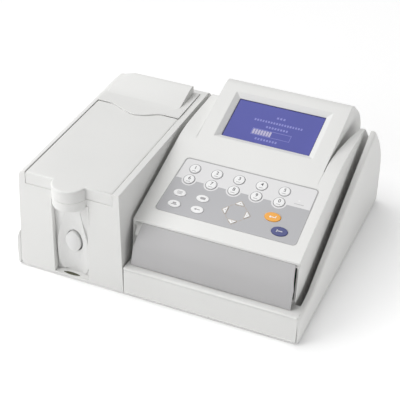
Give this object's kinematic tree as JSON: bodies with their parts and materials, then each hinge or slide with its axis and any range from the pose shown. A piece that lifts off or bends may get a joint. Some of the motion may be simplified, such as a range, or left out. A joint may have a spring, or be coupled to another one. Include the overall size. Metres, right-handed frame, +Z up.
{
  "type": "benchtop chemistry analyzer",
  "caption": "Benchtop chemistry analyzer: hinged-lid tower with sipper niche and printer, beside a sloping keypad console with a hooded display.",
  "frame": {"origin": "centre of the bounding box at the underside of the feet, on the bench surface", "axes": "+X to the right as the user faces the front, +Y to the back, +Z up"},
  "size_m": [0.3644, 0.3294, 0.1649],
  "materials": {
    "white_shell": "satin",
    "grey_panel": "satin",
    "overlay_print": "satin",
    "key_white": "satin",
    "key_orange": "satin",
    "key_navy": "satin",
    "lcd_glass": "gloss",
    "lamp_glass": "gloss",
    "black_plastic": "matte",
    "rubber": "matte",
    "steel": "satin",
    "motor_case": "satin",
    "aluminium": "satin",
    "circuit_board": "satin",
    "paper": "matte"
  },
  "bodies": {
    "base": {"base_tray": "white_shell", "chassis_plate": "steel", "foot_front_left": "rubber", "foot_front_right": "rubber", "foot_rear_left": "rubber", "foot_rear_right": "rubber", "tower_housing": "white_shell", "sample_panel": "grey_panel", "sipper_needle": "steel", "lid_hinge_pin": "steel", "printer_hinge_pin": "steel", "printer_frame": "black_plastic", "inner_deck": "grey_panel", "pump_motor": "motor_case", "flow_cell": "aluminium", "detector": "black_plastic", "filter_motor": "motor_case", "lamp_house": "aluminium", "halogen_lamp": "lamp_glass", "console_housing": "white_shell", "front_panel": "grey_panel", "lcd_window": "lcd_glass", "lcd_module": "circuit_board", "keypad_overlay": "overlay_print", "keypad_board": "circuit_board", "main_board": "circuit_board", "power_supply": "motor_case", "rear_fan": "black_plastic", "mains_inlet": "black_plastic", "serial_port": "steel"},
    "lid": {"lid": "white_shell"},
    "printer_cover": {"printer_cover": "white_shell"},
    "aspirate_button": {"aspirate_button": "key_white"},
    "power_rocker": {"power_rocker": "black_plastic"},
    "filter_wheel": {"filter_wheel": "aluminium"},
    "pump_rotor": {"pump_rotor": "black_plastic"},
    "fan_rotor": {"fan_rotor": "black_plastic"},
    "platen_roller": {"platen_roller": "rubber"},
    "paper_roll": {"paper_roll": "paper"},
    "key_1": {"key_1": "key_white"},
    "key_2": {"key_2": "key_white"},
    "key_3": {"key_3": "key_white"},
    "key_4": {"key_4": "key_white"},
    "key_5": {"key_5": "key_white"},
    "key_6": {"key_6": "key_white"},
    "key_7": {"key_7": "key_white"},
    "key_8": {"key_8": "key_white"},
    "key_9": {"key_9": "key_white"},
    "key_0": {"key_0": "key_white"},
    "key_menu": {"key_menu": "key_white"},
    "key_clear": {"key_clear": "key_white"},
    "key_print": {"key_print": "key_white"},
    "key_back": {"key_back": "key_white"},
    "key_right": {"key_right": "key_white"},
    "key_up": {"key_up": "key_white"},
    "key_left": {"key_left": "key_white"},
    "key_down": {"key_down": "key_white"},
    "key_enter": {"key_enter": "key_orange"},
    "key_escape": {"key_escape": "key_navy"}
  },
  "joints": [
    {"name": "lid_hinge", "type": "hinge", "parent": "base", "child": "lid", "pos_m": [-0.10775, 0.01575, 0.1315], "axis": [-1, 0, 0], "range_deg": [0, 75]},
    {"name": "printer_cover_hinge", "type": "hinge", "parent": "base", "child": "printer_cover", "pos_m": [-0.10875, 0.10415, 0.1406], "axis": [-1, 0, 0], "range_deg": [0, 75]},
    {"name": "aspirate_press", "type": "slide", "parent": "base", "child": "aspirate_button", "axis": [0, 1, 0], "range_m": [0, 0.003], "stiffness_N_per_m": 400, "springref_m": -0.002},
    {"name": "power_rocker_tilt", "type": "hinge", "parent": "base", "child": "power_rocker", "pos_m": [0.11225, 0.15875, 0.031], "axis": [-1, 0, 0], "range_deg": [0, 16]},
    {"name": "filter_wheel_spin", "type": "hinge", "parent": "base", "child": "filter_wheel", "pos_m": [-0.08175, -0.04375, 0.068], "axis": [0, 1, 0], "continuous": true},
    {"name": "pump_rotor_spin", "type": "hinge", "parent": "base", "child": "pump_rotor", "pos_m": [-0.13975, -0.08825, 0.106], "axis": [0, 0, 1], "continuous": true},
    {"name": "fan_spin", "type": "hinge", "parent": "base", "child": "fan_rotor", "pos_m": [-0.00175, 0.15575, 0.031], "axis": [0, 1, 0], "continuous": true},
    {"name": "paper_roll_spin", "type": "hinge", "parent": "base", "child": "paper_roll", "pos_m": [-0.10675, 0.06625, 0.1195], "axis": [1, 0, 0], "continuous": true},
    {"name": "platen_spin", "type": "hinge", "parent": "base", "child": "platen_roller", "pos_m": [-0.10675, 0.08095, 0.134], "axis": [1, 0, 0], "continuous": true},
    {"name": "key_1_press", "type": "slide", "parent": "base", "child": "key_1", "axis": [0, 0.3024, -0.9532], "range_m": [0, 0.0008], "stiffness_N_per_m": 1500, "springref_m": -0.0003},
    {"name": "key_2_press", "type": "slide", "parent": "base", "child": "key_2", "axis": [0, 0.3024, -0.9532], "range_m": [0, 0.0008], "stiffness_N_per_m": 1500, "springref_m": -0.0003},
    {"name": "key_3_press", "type": "slide", "parent": "base", "child": "key_3", "axis": [0, 0.3024, -0.9532], "range_m": [0, 0.0008], "stiffness_N_per_m": 1500, "springref_m": -0.0003},
    {"name": "key_4_press", "type": "slide", "parent": "base", "child": "key_4", "axis": [0, 0.3024, -0.9532], "range_m": [0, 0.0008], "stiffness_N_per_m": 1500, "springref_m": -0.0003},
    {"name": "key_5_press", "type": "slide", "parent": "base", "child": "key_5", "axis": [0, 0.3024, -0.9532], "range_m": [0, 0.0008], "stiffness_N_per_m": 1500, "springref_m": -0.0003},
    {"name": "key_6_press", "type": "slide", "parent": "base", "child": "key_6", "axis": [0, 0.3024, -0.9532], "range_m": [0, 0.0008], "stiffness_N_per_m": 1500, "springref_m": -0.0003},
    {"name": "key_7_press", "type": "slide", "parent": "base", "child": "key_7", "axis": [0, 0.3024, -0.9532], "range_m": [0, 0.0008], "stiffness_N_per_m": 1500, "springref_m": -0.0003},
    {"name": "key_8_press", "type": "slide", "parent": "base", "child": "key_8", "axis": [0, 0.3024, -0.9532], "range_m": [0, 0.0008], "stiffness_N_per_m": 1500, "springref_m": -0.0003},
    {"name": "key_9_press", "type": "slide", "parent": "base", "child": "key_9", "axis": [0, 0.3024, -0.9532], "range_m": [0, 0.0008], "stiffness_N_per_m": 1500, "springref_m": -0.0003},
    {"name": "key_0_press", "type": "slide", "parent": "base", "child": "key_0", "axis": [0, 0.3024, -0.9532], "range_m": [0, 0.0008], "stiffness_N_per_m": 1500, "springref_m": -0.0003},
    {"name": "key_menu_press", "type": "slide", "parent": "base", "child": "key_menu", "axis": [0, 0.3024, -0.9532], "range_m": [0, 0.0008], "stiffness_N_per_m": 1500, "springref_m": -0.0003},
    {"name": "key_clear_press", "type": "slide", "parent": "base", "child": "key_clear", "axis": [0, 0.3024, -0.9532], "range_m": [0, 0.0008], "stiffness_N_per_m": 1500, "springref_m": -0.0003},
    {"name": "key_print_press", "type": "slide", "parent": "base", "child": "key_print", "axis": [0, 0.3024, -0.9532], "range_m": [0, 0.0008], "stiffness_N_per_m": 1500, "springref_m": -0.0003},
    {"name": "key_back_press", "type": "slide", "parent": "base", "child": "key_back", "axis": [0, 0.3024, -0.9532], "range_m": [0, 0.0008], "stiffness_N_per_m": 1500, "springref_m": -0.0003},
    {"name": "key_right_press", "type": "slide", "parent": "base", "child": "key_right", "axis": [0, 0.3024, -0.9532], "range_m": [0, 0.0008], "stiffness_N_per_m": 1500, "springref_m": -0.0003},
    {"name": "key_up_press", "type": "slide", "parent": "base", "child": "key_up", "axis": [0, 0.3024, -0.9532], "range_m": [0, 0.0008], "stiffness_N_per_m": 1500, "springref_m": -0.0003},
    {"name": "key_left_press", "type": "slide", "parent": "base", "child": "key_left", "axis": [0, 0.3024, -0.9532], "range_m": [0, 0.0008], "stiffness_N_per_m": 1500, "springref_m": -0.0003},
    {"name": "key_down_press", "type": "slide", "parent": "base", "child": "key_down", "axis": [0, 0.3024, -0.9532], "range_m": [0, 0.0008], "stiffness_N_per_m": 1500, "springref_m": -0.0003},
    {"name": "key_enter_press", "type": "slide", "parent": "base", "child": "key_enter", "axis": [0, 0.3024, -0.9532], "range_m": [0, 0.0008], "stiffness_N_per_m": 1500, "springref_m": -0.0003},
    {"name": "key_escape_press", "type": "slide", "parent": "base", "child": "key_escape", "axis": [0, 0.3024, -0.9532], "range_m": [0, 0.0008], "stiffness_N_per_m": 1500, "springref_m": -0.0003}
  ],
  "couplings": [
    {"joint": "platen_spin", "follows": "paper_roll_spin", "ratio": 2.9}
  ]
}
